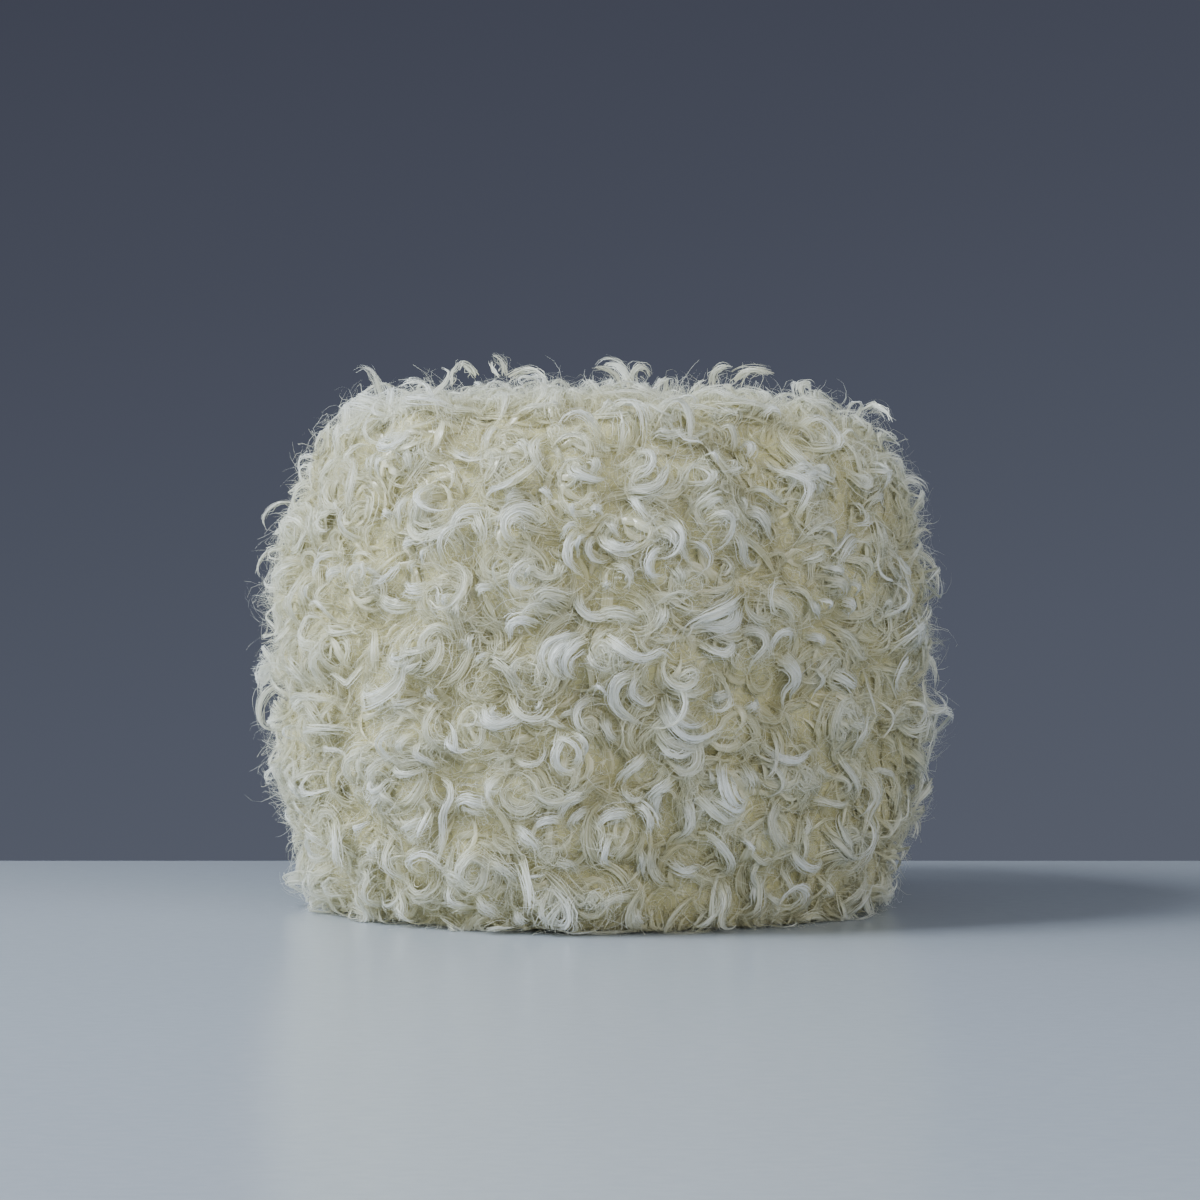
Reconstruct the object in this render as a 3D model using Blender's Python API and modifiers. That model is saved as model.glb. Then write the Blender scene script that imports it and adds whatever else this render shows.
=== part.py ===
"""A ball of curly boucle yarn, wound as a squat drum that stands on its flat end."""

import math
import random

import bmesh
import bpy
from mathutils import Quaternion, Vector, noise
from mathutils.bvhtree import BVHTree

# Driving dimensions of the wound drum, in metres
DRUM_HEIGHT = 0.0810
DRUM_RADIUS = 0.0506
FLAT_RADIUS = 0.0430
WIDEST_HEIGHT = 0.045
UPPER_SQUARENESS = 8.0
LOWER_SQUARENESS = 13.0
HEIGHT_UNDER_FLAT = 0.0015

# Turns of yarn, which ring the drum and cross its top, and the tufts and sags along them
TURN_PITCH = 0.0095
TURN_DEPTH = 0.0018
TURN_WANDER = 0.0024
TUFT_SIZE = 0.0110
TUFT_DEPTH = 0.0042
SAG_SIZE = 0.0330
SAG_DEPTH = 0.0011

# Curls, which stand out of the drum
CURL_SPACING = 0.0126
CURL_RISE = 0.0027
CURL_LENGTH = 0.0155
CURL_THICKNESS = 0.0026
CURL_SEGMENTS = 5
LEAST_TURN = math.radians(110)
MOST_TURN = math.radians(235)
SWAY_SHARE = 0.25
CURL_ROOT_HEIGHT = 0.0011
CURL_ROOT_THICKNESS = 0.0020
LOWEST_ROOT = 0.0035
CURL_GAP = 0.0003
CURL_TRIES = 16
CURL_SEED = 13
FLOOR_CLEARANCE = 0.0004

# How finely the drum is divided
COLUMNS = 84
ROWS_PER_TURN = 2
OUTLINE_SAMPLES = 600

YARN_COLOUR = (0.80, 0.79, 0.66, 1.0)
YARN_ROUGHNESS = 0.85


def clear_scene():
    for thing in list(bpy.data.objects):
        bpy.data.objects.remove(thing, do_unlink=True)


def new_collection(name):
    collection = bpy.data.collections.new(name)
    bpy.context.scene.collection.children.link(collection)
    return collection


def yarn_material():
    material = bpy.data.materials.new("cream_yarn")
    material.use_nodes = True
    shader = material.node_tree.nodes["Principled BSDF"]
    shader.inputs["Base Color"].default_value = YARN_COLOUR
    shader.inputs["Roughness"].default_value = YARN_ROUGHNESS
    shader.inputs["Metallic"].default_value = 0.0
    material.diffuse_color = YARN_COLOUR
    return material


def outline_point(turned):
    """Radius and height of the drum's outline, at an angle from below, -90 degrees, to the top, 90 degrees."""
    upper = turned > 0.0
    squareness = UPPER_SQUARENESS if upper else LOWER_SQUARENESS
    reach = DRUM_HEIGHT - WIDEST_HEIGHT if upper else WIDEST_HEIGHT + HEIGHT_UNDER_FLAT
    radius = DRUM_RADIUS * max(0.0, math.cos(turned)) ** (2.0 / squareness)
    return radius, WIDEST_HEIGHT + reach * math.sin(turned)


def drum_outline():
    """The outline from the edge of the flat spot to the middle of the top, as (arc length, radius, height)."""
    start = -math.asin(WIDEST_HEIGHT / (WIDEST_HEIGHT + HEIGHT_UNDER_FLAT))
    outline = [(0.0, FLAT_RADIUS, 0.0)]
    for sample in range(1, OUTLINE_SAMPLES + 1):
        radius, height = outline_point(start + (math.pi / 2.0 - start) * sample / OUTLINE_SAMPLES)
        if sample == OUTLINE_SAMPLES:
            radius = 0.0
        step = math.hypot(radius - outline[-1][1], height - outline[-1][2])
        outline.append((outline[-1][0] + step, radius, height))
    return outline


def outline_at(outline, arc):
    """(radius, height) at an arc length along the outline."""
    for before, after in zip(outline, outline[1:]):
        if after[0] >= arc:
            share = (arc - before[0]) / max(after[0] - before[0], 1e-9)
            radius = before[1] + share * (after[1] - before[1])
            return radius, before[2] + share * (after[2] - before[2])
    return outline[-1][1], outline[-1][2]


def relief(arc, total, place):
    """How far the yarn stands out of the smooth outline at a place, and how far its turns wander there."""
    fade = min(1.0, arc / TURN_PITCH) * min(1.0, (total - arc) / TURN_PITCH)
    turns = math.sqrt(abs(math.sin(math.pi * arc / TURN_PITCH)))
    nearest_tuft = noise.voronoi(place / TUFT_SIZE)[0][0]
    swell = TURN_DEPTH * (turns - 0.6)
    swell += TUFT_DEPTH * (0.45 - nearest_tuft)
    swell += SAG_DEPTH * noise.noise(place / SAG_SIZE)
    wander = TURN_WANDER * noise.noise(Vector((place.x, place.y, 3.0 * DRUM_HEIGHT)) / SAG_SIZE)
    return fade * swell, fade * wander


class Drum:
    """The surface of the wound drum, as places on it and the direction out of it."""

    def __init__(self):
        self.outline = drum_outline()
        self.total = self.outline[-1][0]

    def surface(self, arc, angle):
        """A place on the drum, an arc length up its outline and an angle round it, and the way out of it."""
        radius, height = outline_at(self.outline, arc)
        step = 0.25 * TURN_PITCH
        low = outline_at(self.outline, max(0.0, arc - step))
        high = outline_at(self.outline, min(self.total, arc + step))
        rise = Vector((high[0] - low[0], high[1] - low[1])).normalized()
        ray = Vector((math.cos(angle), math.sin(angle), 0.0))
        up = ray * rise.x + Vector((0.0, 0.0, rise.y))
        out = ray * rise.y - Vector((0.0, 0.0, rise.x))
        place = ray * radius + Vector((0.0, 0.0, height))
        swell, wander = relief(arc, self.total, place)
        return place + out * swell + up * wander, out


def turned_outline(corners, collection):
    """The mesh of an outline turned about Z."""
    mesh = bpy.data.meshes.new("outline")
    mesh.from_pydata(corners, [(i, i + 1) for i in range(len(corners) - 1)], [])
    turned = bpy.data.objects.new("outline", mesh)
    collection.objects.link(turned)
    screw = turned.modifiers.new("turn", "SCREW")
    screw.steps = screw.render_steps = COLUMNS
    screw.use_merge_vertices = True
    screw.merge_threshold = 0.0001
    bpy.context.view_layer.update()
    body = bpy.data.meshes.new_from_object(turned.evaluated_get(bpy.context.evaluated_depsgraph_get()))
    bpy.data.objects.remove(turned, do_unlink=True)
    return body


def wound_drum(drum, collection):
    """The drum's mesh: its turned outline, pushed in and out by the turns and tufts of the yarn."""
    row_count = round(drum.total / TURN_PITCH) * ROWS_PER_TURN
    rows = [drum.total * row / row_count for row in range(row_count, -1, -1)]
    points = [outline_at(drum.outline, arc) for arc in rows]
    body = turned_outline([(radius, 0.0, height) for radius, height in points] + [(0.0, 0.0, 0.0)], collection)
    for vertex in body.vertices:
        if vertex.co.z < 1e-6:
            continue
        spread = math.hypot(vertex.co.x, vertex.co.y)
        gaps = [math.hypot(radius - spread, height - vertex.co.z) for radius, height in points]
        arc = rows[gaps.index(min(gaps))]
        vertex.co = drum.surface(arc, math.atan2(vertex.co.y, vertex.co.x))[0]
    return body


def curl_route(drum, arc, angle, heading, turn, sways, length):
    """Points along one curl that follows the drum, each with its share of the curl's thickness."""
    route = []
    step = length / CURL_SEGMENTS
    for i in range(CURL_SEGMENTS):
        along = i / (CURL_SEGMENTS - 1)
        place, out = drum.surface(arc, angle)
        thick = 1.0 - 0.62 * along**2
        point = place + out * CURL_RISE * min(1.0, 0.5 + 1.5 * along)
        point.z = max(point.z, 0.75 * CURL_THICKNESS * thick + FLOOR_CLEARANCE)
        route.append((point, thick))
        bent = 0.45 * math.sin(math.pi * along) if sways else along
        facing = heading + turn * bent
        radius = max(outline_at(drum.outline, arc)[0], 0.5 * TURN_PITCH)
        angle += step * math.cos(facing) / radius
        arc = min(max(arc + step * math.sin(facing), 0.0), drum.total)
    return route


def fullness(route):
    """The curl as (middle, radius) balls, one at each point of its route and one between each two."""
    balls = [(point, 0.6 * CURL_THICKNESS * thick) for point, thick in route]
    between = [((a[0] + b[0]) / 2.0, (a[1] + b[1]) / 2.0) for a, b in zip(balls, balls[1:])]
    return balls + between


def stands_clear(balls, placed, skin):
    """True if a curl leaves a gap to every curl already placed and, past its root, to the drum's skin."""
    near_root = (0, CURL_SEGMENTS)
    for i, (middle, radius) in enumerate(balls):
        if i not in near_root and skin.find_nearest(middle)[3] < radius + CURL_GAP:
            return False
    return all(
        (middle - other).length > radius + other_radius + CURL_GAP
        for middle, radius in balls
        for other, other_radius in placed
    )


def curl_routes(drum, skin):
    """Curls on every turn of the yarn, at uneven places and in both hands, none touching another."""
    chance = random.Random(CURL_SEED)
    column = 2.0 * math.pi / COLUMNS
    placed = []
    routes = []
    for ring in range(int(drum.total / TURN_PITCH)):
        radius = outline_at(drum.outline, (ring + 0.5) * TURN_PITCH)[0]
        count = round(2.0 * math.pi * radius / CURL_SPACING)
        for i in range(count):
            for _ in range(CURL_TRIES):
                arc = (ring + chance.choice((0.25, 0.75))) * TURN_PITCH
                angle = 2.0 * math.pi * (i + 0.5 * (ring % 2) + 0.3 * chance.uniform(-1.0, 1.0)) / count
                angle = (math.floor(angle / column) + 0.5) * column
                heading = chance.uniform(0.0, 2.0 * math.pi)
                turn = chance.choice((-1.0, 1.0)) * chance.uniform(LEAST_TURN, MOST_TURN)
                sways = chance.random() < SWAY_SHARE
                length = CURL_LENGTH * chance.uniform(0.8, 1.1)
                route = curl_route(drum, arc, angle, heading, turn, sways, length)
                returns = (route[-1][0] - route[0][0]).length < 1.6 * CURL_THICKNESS
                if not returns and stands_clear(fullness(route), placed, skin):
                    placed.extend(fullness(route))
                    routes.append(route)
                    break
    return routes


def grow_curl(work, face, route):
    """Extrudes one face of the drum along a curl's route, as a three-sided lock that tapers to its tip."""
    middle = face.calc_center_median()
    facing = face.normal.copy()
    first = (face.verts[0].co - middle).normalized()
    section = [Quaternion(facing, math.radians(120) * i) @ first for i in range(3)]
    root = (middle + facing * CURL_ROOT_HEIGHT, CURL_ROOT_THICKNESS / CURL_THICKNESS)
    route = [root] + route[1:]
    for i, (place, thick) in enumerate(route):
        if i:
            after = route[min(i + 1, len(route) - 1)][0]
            ahead = (after - route[i - 1][0]).normalized()
            turn = facing.rotation_difference(ahead)
            for corner in section:
                corner.rotate(turn)
            facing = ahead
        face = bmesh.ops.extrude_discrete_faces(work, faces=[face])["faces"][0]
        for vertex, corner in zip(face.verts, section):
            vertex.co = place + corner * (0.6 * CURL_THICKNESS * thick)


def with_curls(body, routes):
    """Grows each curl out of the nearest free face of the drum."""
    work = bmesh.new()
    work.from_mesh(body)
    bmesh.ops.triangulate(work, faces=work.faces)
    bmesh.ops.recalc_face_normals(work, faces=work.faces)
    free = {face for face in work.faces if face.calc_center_median().z > LOWEST_ROOT}
    roots = []
    for route in routes:
        root = min(free, key=lambda face: (face.calc_center_median() - route[0][0]).length_squared)
        free -= {neighbour for vertex in root.verts for neighbour in vertex.link_faces}
        roots.append(root)
    for root, route in zip(roots, routes):
        grow_curl(work, root, route)
    work.to_mesh(body)
    work.free()


def centre(body):
    """Brings the middle of the body's box over the origin."""
    for axis in (0, 1):
        reach = [vertex.co[axis] for vertex in body.vertices]
        middle = 0.5 * (min(reach) + max(reach))
        for vertex in body.vertices:
            vertex.co[axis] -= middle


def yarn_ball(collection):
    drum = Drum()
    body = wound_drum(drum, collection)
    skin = BVHTree.FromPolygons([v.co for v in body.vertices], [tuple(p.vertices) for p in body.polygons])
    with_curls(body, curl_routes(drum, skin))
    centre(body)
    body.name = "yarn_ball"
    body.materials.append(yarn_material())
    body.shade_smooth()
    ball = bpy.data.objects.new("yarn_ball", body)
    collection.objects.link(ball)
    return ball


clear_scene()
yarn_ball(new_collection("boucle_yarn_ball"))
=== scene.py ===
"""The looks of the boucle yarn ball: curly locks of fine fibre over a frizzy ground, on a pale table."""

import math

import bpy
import numpy as np
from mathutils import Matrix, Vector, noise


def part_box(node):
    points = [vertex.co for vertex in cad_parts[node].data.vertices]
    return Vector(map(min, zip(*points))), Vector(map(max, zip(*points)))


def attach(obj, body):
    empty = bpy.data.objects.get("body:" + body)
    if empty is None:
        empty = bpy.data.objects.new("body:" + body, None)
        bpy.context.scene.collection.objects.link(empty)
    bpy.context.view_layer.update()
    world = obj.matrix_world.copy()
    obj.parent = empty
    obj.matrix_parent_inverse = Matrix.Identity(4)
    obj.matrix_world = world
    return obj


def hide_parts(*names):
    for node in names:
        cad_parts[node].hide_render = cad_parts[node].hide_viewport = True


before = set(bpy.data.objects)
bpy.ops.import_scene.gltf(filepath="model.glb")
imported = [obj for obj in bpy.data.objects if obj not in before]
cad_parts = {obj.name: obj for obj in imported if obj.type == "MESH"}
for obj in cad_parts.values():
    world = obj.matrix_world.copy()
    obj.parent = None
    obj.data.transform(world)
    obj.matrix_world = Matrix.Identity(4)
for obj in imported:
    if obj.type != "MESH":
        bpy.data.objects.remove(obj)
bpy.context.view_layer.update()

MM = 0.001

# The wound drum under the pile, worked out from the frame's box
NODE = "yarn_ball"
LOW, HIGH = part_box(NODE)
PILE = 5.2 * MM
DRUM_HEIGHT = HIGH.z - 1.25 * PILE
DRUM_RADIUS = 0.5 * (HIGH.x - LOW.x) - 0.78 * PILE
FLAT_RADIUS = 0.83 * DRUM_RADIUS
TOP_PLANE_RADIUS = 0.6 * DRUM_RADIUS
RIM_RADIUS = 0.75 * DRUM_RADIUS
WIDEST_HEIGHT = 0.55 * DRUM_HEIGHT
UPPER_SQUARENESS = 7.5
LOWER_SQUARENESS = 7.0
# How far under the table the lower outline would close if the flat end didn't cut it off
HEIGHT_UNDER_FLAT = WIDEST_HEIGHT * ((1.0 - (FLAT_RADIUS / DRUM_RADIUS) ** LOWER_SQUARENESS) ** -0.5 - 1.0)

# The drum's relief: its yarn turns, the tufts that its locks grow in, and its sags
TURN_PITCH = 9.5 * MM
TURN_DEPTH = 0.8 * MM
TURN_MEAN = 0.6
TURN_WANDER = 2.4 * MM
TUFT_SIZE = 11.0 * MM
TUFT_DEPTH = 4.8 * MM
TUFT_MEAN = 0.45
SAG_SIZE = 33.0 * MM
SAG_DEPTH = 1.1 * MM
SLOPE_STEP = 0.25 * TURN_PITCH

# The pile
LOCK_SPACING = 3.5 * MM
MAT_SPACING = 4.0 * MM
MOST_STANDING = 2.4 * MM
ROOT_DEPTH = 0.8 * MM
SMALLEST_BEND_RADIUS = 4.0 * MM
STRAND_HALF_WIDTHS = (0.040, 0.085)
STRAND_ROUNDNESS = math.radians(50.0)
LOOSE_SHARE = 0.30
LOOSE_SPREAD = 1.9
LOOSE_WAVE = 3.5
CORE_COLUMNS = 3
FLOOR_ZONE = 1.5 * MM
FLOOR_SPREAD = 0.5
MOST_TRIANGLES = 190000

# What the map of a fibre holds: shades across, and from the deepest to the outermost place upwards, whose colour
# paints shade deep down and a highlight outside
MAP_NAME = "OFBake"
SHADE_RANGE = 12.0 * MM
DEEPEST = 1.6 * MM
DEPTH_RANGE = 5.0 * MM
# The drum's relief moves fibre colour: painted shade in its hollows, a painted lighter tone on its swells
RELIEF_PAINTED_SHADE = 0.6

# Looks: ramps of (place, colour)
STRAND_SHADES = [(0.0, (0.76, 0.74, 0.64)), (0.50, (0.94, 0.935, 0.89)), (0.85, (1.0, 1.0, 1.0))]
# Streaks of single fibres, differing in tone, whose darker, yellower lines between them are painted shade in the gaps
STRAND_STREAKS = [(0.36, (0.85, 0.835, 0.76)), (0.58, (1.0, 1.0, 1.0))]
STREAK_SCALE = 48.0
# The ground's dark olive to tan is painted shade of the deep pile, uneven at random
GROUND_PAINTED_SHADE = [(0.30, (0.37, 0.34, 0.16)), (0.55, (0.46, 0.43, 0.23)), (0.75, (0.54, 0.51, 0.31))]
GROUND_FIBRE = (0.72, 0.69, 0.50, 1.0)
GROUND_FIBRE_SHARE = 0.7
GROUND_FIBRE_WIDTH = 0.02
GROUND_LINES = ((330.0, 1.2, 0.50), (450.0, 1.0, 0.44), (450.0, 1.0, 0.56), (600.0, 1.0, 0.50))
TABLE_SHADES = [(0.3, (0.340, 0.376, 0.430)), (0.7, (0.360, 0.398, 0.452))]
# The table's colour darkens towards its far edge: painted shade where less light reaches
TABLE_FAR_PAINTED_SHADE = [(0.78, (1.0, 1.0, 1.0)), (0.90, (0.93, 0.93, 0.93)), (1.0, (0.76, 0.76, 0.76))]
SKY_SHADES = [
    (0.0, (0.107, 0.120, 0.155)), (0.127, (0.089, 0.100, 0.136)),
    (0.27, (0.068, 0.0755, 0.105)), (0.40, (0.054, 0.0585, 0.085)),
]
SKY_SLANT = -0.15
SKY_OFFSET = 0.15

# Each light: name, place and size in metres, power in watts, colour
LIGHTS = (
    ("key", (-0.50, -0.20, 0.70), 0.25, 9.0, (0.86, 0.94, 1.0)),
    ("side", (-0.90, -0.10, 0.35), 0.80, 14.8, (0.90, 0.96, 1.0)),
    ("fill", (0.40, -0.85, 0.40), 0.80, 7.9, (0.98, 0.99, 0.98)),
    ("right", (0.90, -0.15, 0.30), 0.90, 0.85, (0.55, 0.78, 1.0)),
    ("above", (-0.12, 0.15, 0.82), 0.70, 1.2, (0.84, 0.93, 1.0)),
)
LIT_PLACE = Vector((0.0, 0.0, 0.04))

# The photograph's camera, level with the middle of the ball; its pictures are 1200 pixels wide
PHOTO_WIDTH = 1200.0
FOCAL_PIXELS = 3070.0
EYE_DISTANCE = 0.5
EYE = Vector((-0.3 * MM, -EYE_DISTANCE, 49.7 * MM))
PIXEL = EYE_DISTANCE / FOCAL_PIXELS
SENSOR_WIDTH = 36.0

# Locks traced from the photograph, on the side that it shows.
# Each row: width in pixels, how far it stands out from 0 to 10, then x,y from root to tip in pixels.
TRACED_LOCKS = """
 8 8 632,451 641,449 649,455 651,464 647,472 637,475 628,478
12 10 623,482 634,486 647,490 658,486 665,476 669,465 668,454
 9 6 628,487 634,497 638,508 645,518 655,524
 6 6 613,516 612,524 616,532 622,539
12 10 601,530 606,541 616,547 628,549 638,545 645,538
 7 9 669,549 658,549 650,556 647,566 651,575 659,577 669,571
14 7 655,529 664,530 674,537 682,547 690,556 698,563
 6 8 690,536 700,541 709,549 713,558 710,567 702,571
 6 9 706,522 714,516 722,515 729,521 731,530 729,539 722,546 714,550
 8 8 736,524 742,533 746,545 751,556 760,563 770,564 777,557
 9 6 750,486 760,485 770,491 780,497 792,499 804,496
16 7 745,508 757,509 768,517 777,527 789,533
 5 6 740,492 746,498 747,507 742,515
 4 8 707,449 714,457 722,464
 8 5 744,453 742,464 732,470 720,472
 9 4 712,468 711,480 704,490
17 4 726,497 712,499 702,506 695,516
 9 5 612,561 623,566 630,574 630,583 623,591
 5 6 602,587 613,581
 9 5 677,566 680,576 684,585
 8 3 717,556 729,557 735,566 728,574 716,572
14 10 753,592 741,600 728,607 715,613 702,621 693,630 692,641
16 9 751,600 744,612 736,624 722,630 710,631 700,635 698,642
 8 8 701,641 708,648 718,653 729,652 735,643 730,638 721,643
10 8 741,641 748,632 757,630 766,635 767,646 760,656 755,667 756,677
 7 8 792,648 797,640 793,633 785,632 779,637 776,646 776,654 779,661
 9 10 597,640 606,638 614,643 624,651 634,656 645,658 655,655 663,651 672,657 680,664
 9 6 666,603 664,615 659,625 653,633
13 5 594,620 608,614 624,614 638,620 650,628
 5 10 588,647 591,660 599,667 608,669 616,663
14 8 640,668 632,676 618,683 614,695 617,707 627,717 638,724 647,730
 9 9 641,672 633,684 632,695 640,703 650,705 656,699 650,693
 5 9 671,694 672,708 678,720 690,727 703,726 715,720
10 8 667,698 668,713 674,727 686,737 702,738 717,732 730,721
11 5 660,714 661,730 668,742 682,748 700,748 716,743 728,733
10 9 714,701 722,697 731,695 739,698
 9 6 750,712 758,706 768,702
10 3 667,685 679,692 694,694 706,689 717,681
10 4 603,715 606,730 614,741 627,745
18 7 542,519 532,511 518,510 508,518 504,531 507,543 515,549
 7 9 541,560 529,561 519,569 514,580 521,588 531,587 538,577
 6 6 536,565 528,572 524,582
14 10 534,622 523,618 511,620 503,630 500,643
 4 8 589,530 580,536 576,546 577,556
 6 9 597,529 590,537 587,548 591,557 600,561 611,559
11 7 581,527 571,535 566,547 567,560 575,568 586,573
 6 7 574,500 572,511 578,519
 5 6 581,524 571,524 562,532 555,538
 6 7 588,507 598,509 606,512
 9 6 574,589 577,602 583,613 594,618 607,616 622,614
 8 3 561,558 558,572 555,585
15 4 573,603 560,597 546,595 536,601 533,613
 8 6 472,596 478,588 487,586 495,590
16 4 470,507 478,519 484,534 477,546
 7 10 586,634 570,634 553,639 543,647 540,660 544,672 553,678
12 9 583,636 566,640 554,651 550,664 557,676 568,683
15 8 589,640 575,648 565,661 567,675 577,683
 9 6 476,666 487,661 498,664 508,672 515,684 520,697 520,706
12 10 475,703 481,717 494,724 508,722 519,713 522,703
 5 6 487,705 492,714 501,717
 7 5 528,659 518,662 513,671 515,682 524,688
 8 10 561,733 558,744 555,756 557,768 565,774 577,773
 6 9 569,737 580,739 586,747 584,754 573,757
 9 5 602,702 589,701 578,707 575,718 580,730 592,736 605,734
 3 9 589,687 598,687 605,693 609,702
 3 6 529,713 537,707 540,697
 6 9 437,735 446,745 458,751 471,749
 9 7 463,632 465,644 460,655
 5 6 488,653 478,658 471,665
 5 4 534,720 548,722 560,728 572,733
 6 4 576,711 565,715 555,721
10 9 797,470 802,465 810,465 816,458
10 8 799,473 811,476 821,471 829,463
 8 9 820,461 829,468 836,477
 6 9 811,478 813,487 811,495
 5 7 821,481 822,493
 6 6 785,464 792,471 797,481 792,491
13 6 899,492 888,491 879,495 873,502
 4 5 862,496 867,506 870,515
 5 6 823,524 832,533 841,547
15 8 867,545 855,541 847,546 841,556 838,567
 6 9 827,562 833,569 842,571 850,566
 6 6 804,561 815,558 823,552 827,545
 8 4 857,552 866,560 870,572 868,586
14 7 826,577 838,582 846,592 850,602
 8 8 855,579 860,588 863,597
10 7 819,595 816,606 822,613 833,610
 4 8 825,598 832,604 835,612
10 7 850,599 857,606 862,614
 9 7 815,634 824,639 831,647
10 4 838,627 851,633 860,645 862,658 858,671
16 6 834,671 849,681 861,687 868,678
18 6 786,655 796,666 800,681 797,696 801,711
 3 7 814,667 822,672 825,682 822,694 819,705
 8 5 844,717 852,724 860,721 866,712
 9 4 904,607 914,601 926,606
 7 9 657,741 668,753 681,757 693,752 704,744
 4 5 664,760 678,768 692,774 706,773 715,767
10 5 652,752 643,763 632,771 622,783 617,797
 6 4 624,785 626,797 635,803 645,801 651,791
10 8 681,783 668,788 658,796 652,806 650,817
 8 8 669,791 661,805 662,818 671,826
13 10 636,811 645,812 652,820 656,832 661,842
10 5 680,795 690,806 693,822 688,838 677,849
11 5 694,789 703,800 715,812 728,820 739,815 748,806
 7 8 711,799 722,804 733,810 744,809 752,801
14 10 733,768 727,780 727,791 733,801 742,806 751,803
 6 5 758,763 772,764 780,775 781,788 775,798 764,803
14 4 748,764 752,780 759,796
 4 4 715,768 712,778 716,789
12 9 630,826 622,819 612,819 604,825 600,836
 7 7 613,835 606,847 604,858 609,868 617,874
 9 7 700,838 710,836 718,841 726,850 734,862 737,876 735,892
 3 8 743,837 750,846 757,854
11 6 797,804 783,808 773,818 771,832 778,843 790,850 799,854
10 7 670,872 684,876 698,877 709,881
13 4 655,848 652,865 655,880 665,890 679,893
 7 4 640,849 644,865 645,880 651,893
12 4 720,884 728,897 722,912 708,920 695,915
 6 5 769,861 758,868 755,880 762,888 772,882 774,869
10 5 762,884 757,898 760,911
 5 4 769,894 776,903 783,906
 9 4 641,905 628,900 615,898 604,904 600,914 607,921
13 4 634,913 640,926 651,933
 8 8 769,741 776,752 786,760 797,761 808,757 820,753 833,753
 5 4 817,761 824,772 835,778 846,780
 5 4 837,774 846,780 848,790 842,798
 8 6 848,751 850,768 854,782 860,792 857,801
 8 5 819,799 832,804 845,804 857,797
 8 5 852,819 843,825 842,836 850,846 859,851
 9 4 831,828 836,842 845,853 858,857 869,853
11 7 797,848 801,862 810,870 822,870 829,863 827,857
 8 4 821,814 818,828 810,838 806,849
15 3 799,779 811,782 820,790 814,797
 5 6 884,779 895,773 903,777 907,789
 7 4 795,869 793,885 798,897 807,906
 7 4 827,881 832,893 825,904
 7 8 425,780 435,784 443,790 446,800 441,812 438,825 440,838 438,850 430,855 421,857
 7 6 426,822 414,824 406,830 402,840
 7 4 421,831 412,838 413,848
19 6 487,813 474,806 463,804 454,808 451,819
13 3 502,788 492,786 480,787
10 7 507,836 517,833 528,838 537,845 541,858
11 7 560,826 548,823 538,826 529,833
10 6 592,796 575,799 563,806 558,818 560,832
 9 5 591,815 578,818 572,825 577,834
10 6 482,851 470,857 465,868 470,880 481,889
11 4 484,868 495,866 505,872 512,882 515,897
 3 7 519,881 530,878 546,879
 8 4 547,865 560,864 572,870 578,884
 7 7 444,884 450,897 458,905 467,913
13 5 474,899 485,905 494,913 501,921
 6 6 550,889 544,900 545,912 553,921 566,927 581,929
12 4 576,891 568,904 572,918 586,926
12 5 513,913 520,921 527,929
 4 4 404,889 410,900 420,903 430,904 441,907
 8 8 650,426 660,418 672,415 682,417 688,425 689,437 691,450
 8 8 653,430 665,434 676,429
10 4 703,386 720,383 735,388 742,400 738,412 727,419
10 4 714,386 722,395 720,405 712,413
10 5 719,418 732,422 740,430 747,442
11 6 748,427 756,432 760,440 757,451
 9 8 762,404 774,408 786,407
 5 7 449,449 462,453 476,459
 8 4 505,425 495,422 486,429 481,441 483,457
 5 9 474,490 488,488 500,487 510,482 516,474 521,467
 9 4 511,439 520,443 526,450 531,460
12 7 577,461 575,472 585,478 598,478 608,473
10 6 591,457 597,468 595,478
 5 7 536,482 545,490 553,500
11 7 521,489 511,495 502,506
 5 6 561,393 552,397 544,402
 5 7 616,410 606,414 599,419
 4 5 547,447 560,443 575,440 592,434
 7 6 367,400 358,403 350,412 345,426
15 4 371,447 369,460 365,477
 6 6 387,454 379,465 371,477
 6 4 403,398 419,398 434,405
11 4 407,451 412,462 409,473
 8 6 331,549 317,551 307,560 303,574 306,589
10 7 327,563 320,572 313,580
 5 7 300,578 302,591 299,605
 6 9 380,557 385,565 383,574 374,580 361,581
 3 7 361,563 370,571 376,579
10 6 399,487 398,502 395,515 386,527
10 6 391,540 400,542 408,540 415,533
 7 6 372,507 380,510 389,515
 8 6 281,717 284,703 294,697 306,695 318,698 329,705
 9 4 301,742 309,731 322,728 335,731 347,739
 5 6 313,748 325,750 335,753 342,760
 9 5 384,643 386,656 393,663 403,664 413,658 419,647
 4 9 388,652 392,657 400,658 408,651
 6 6 401,668 412,668 421,659
 9 7 401,728 388,734 383,745 387,756 396,764 407,768
 6 5 411,732 406,745 402,757
 7 7 413,743 418,754 426,762 433,772
 6 6 387,762 394,770 405,774 416,772 428,767
 8 4 352,791 350,771 354,757 365,752 379,753
 5 4 299,789 305,778 313,773 326,775
 8 6 417,689 424,697 431,706
 7 5 384,699 395,705 405,703 416,696
11 3 309,648 314,665 317,679 323,689
17 5 432,497 423,504 418,516 415,529
14 5 491,513 478,508 464,512 456,522 453,536 461,546
 4 7 425,544 420,555 416,567
 4 5 407,556 403,567 403,577
14 6 420,584 409,590 398,588 387,588
15 4 371,591 380,602 395,606 411,599
 5 7 446,591 445,600 443,608
 9 4 454,599 457,611 451,621
 6 9 344,834 352,829 359,825
 9 7 365,844 370,854 375,861
10 4 365,787 376,786 386,792 396,800 403,813
 4 6 366,900 374,899 379,905 386,907 393,903 398,893 403,887
12 4 295,849 300,862 302,876 308,891
12 3 323,866 318,878 323,892
"""

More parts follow.
